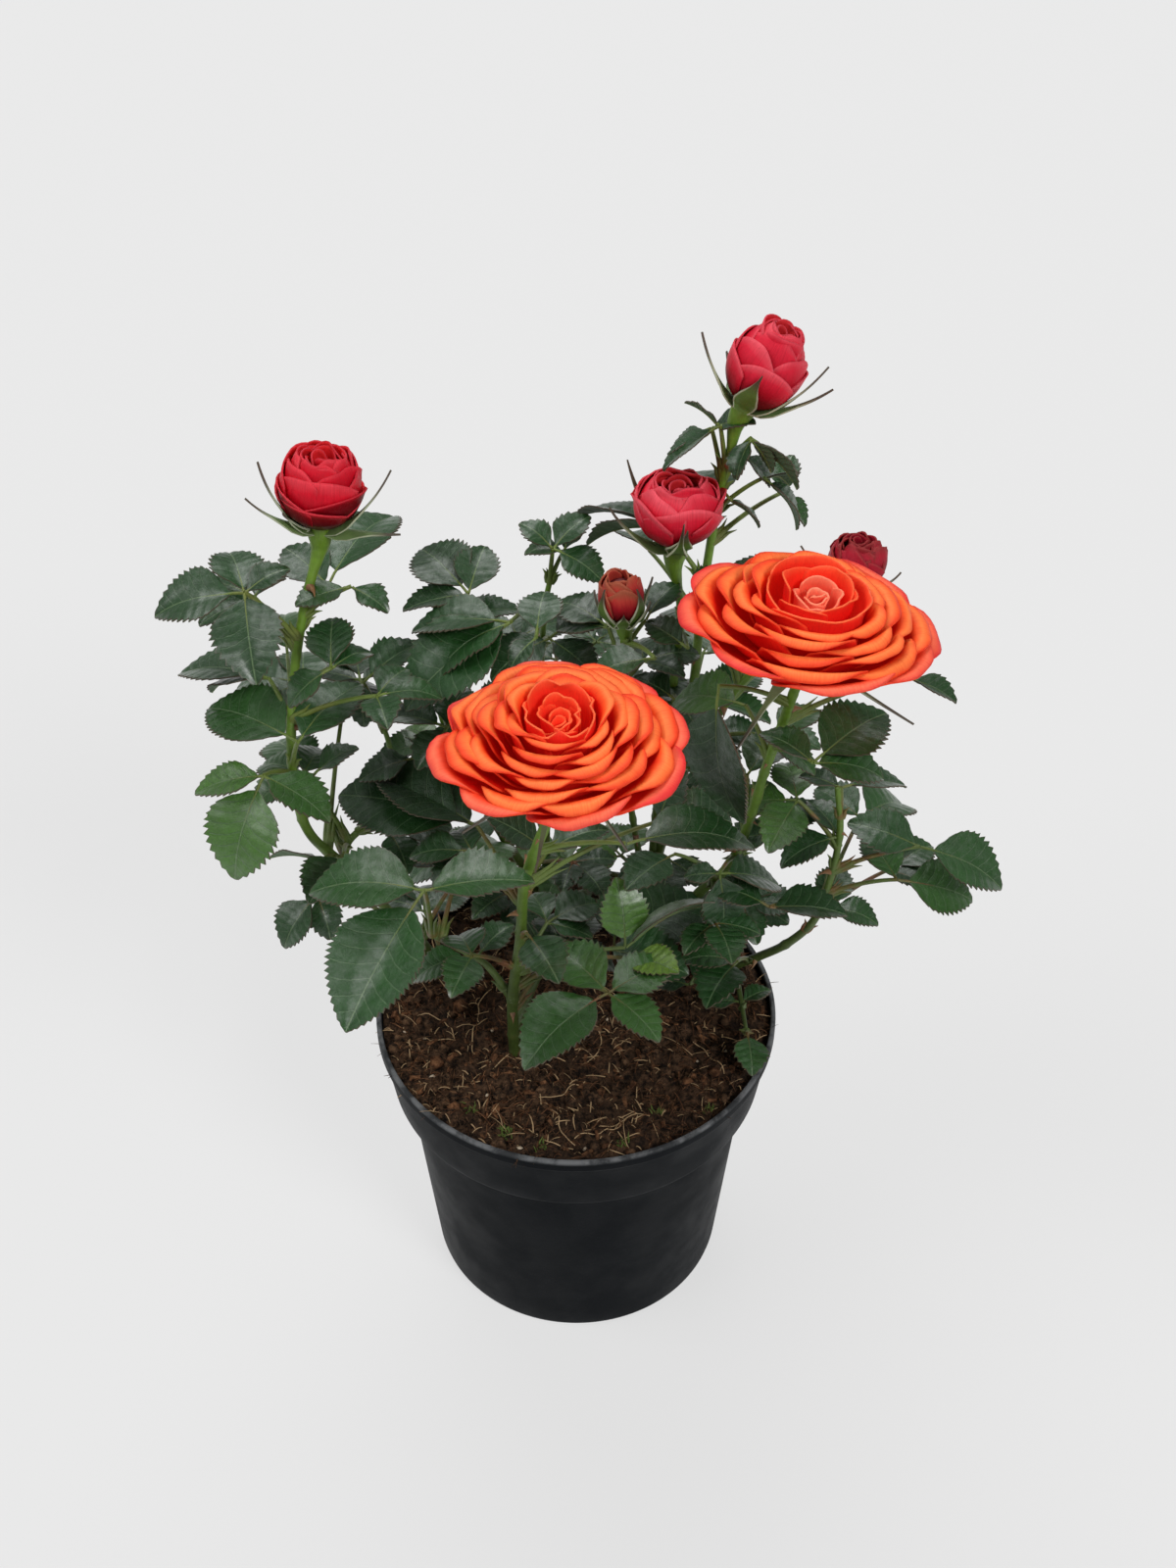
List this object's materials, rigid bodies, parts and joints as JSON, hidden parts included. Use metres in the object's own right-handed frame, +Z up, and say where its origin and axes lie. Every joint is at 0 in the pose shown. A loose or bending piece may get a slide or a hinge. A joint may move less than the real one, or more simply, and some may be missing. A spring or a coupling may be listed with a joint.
{
  "type": "potted miniature rose",
  "caption": "Flowering miniature rose in a round nursery pot: thorny rooted cuttings with toothed leaflets, open orange rosette blooms and red buds.",
  "frame": {"origin": "centre of the pot's base, on the surface that it stands on", "axes": "+Z up along the pot's axis, the picture's view looks along +Y, +X to its right"},
  "size_m": [0.229, 0.1723, 0.3012],
  "materials": {
    "pot_plastic": "near-black thin plastic, matte with a slight sheen, dusty at the rim",
    "peat": "loose brown fibrous peat, fully matte",
    "foliage": "dark green leaves with a soft gloss, green and reddish canes",
    "orange_petal": "velvety orange petals with lighter edges",
    "red_petal": "velvety crimson petals",
    "dry_petal": "dark crimson withered petals"
  },
  "bodies": {
    "root": {"pot": "pot_plastic", "soil": "peat", "cutting_left": "foliage", "cutting_front": "foliage", "cutting_right": "foliage", "cutting_low": "foliage", "cutting_back": "foliage", "cutting_middle": "foliage", "bloom_front": "orange_petal", "bloom_right": "orange_petal", "bud_left": "red_petal", "bud_top": "red_petal", "bud_middle": "red_petal", "bud_small": "red_petal", "bud_dry": "dry_petal"}
  },
  "joints": []
}
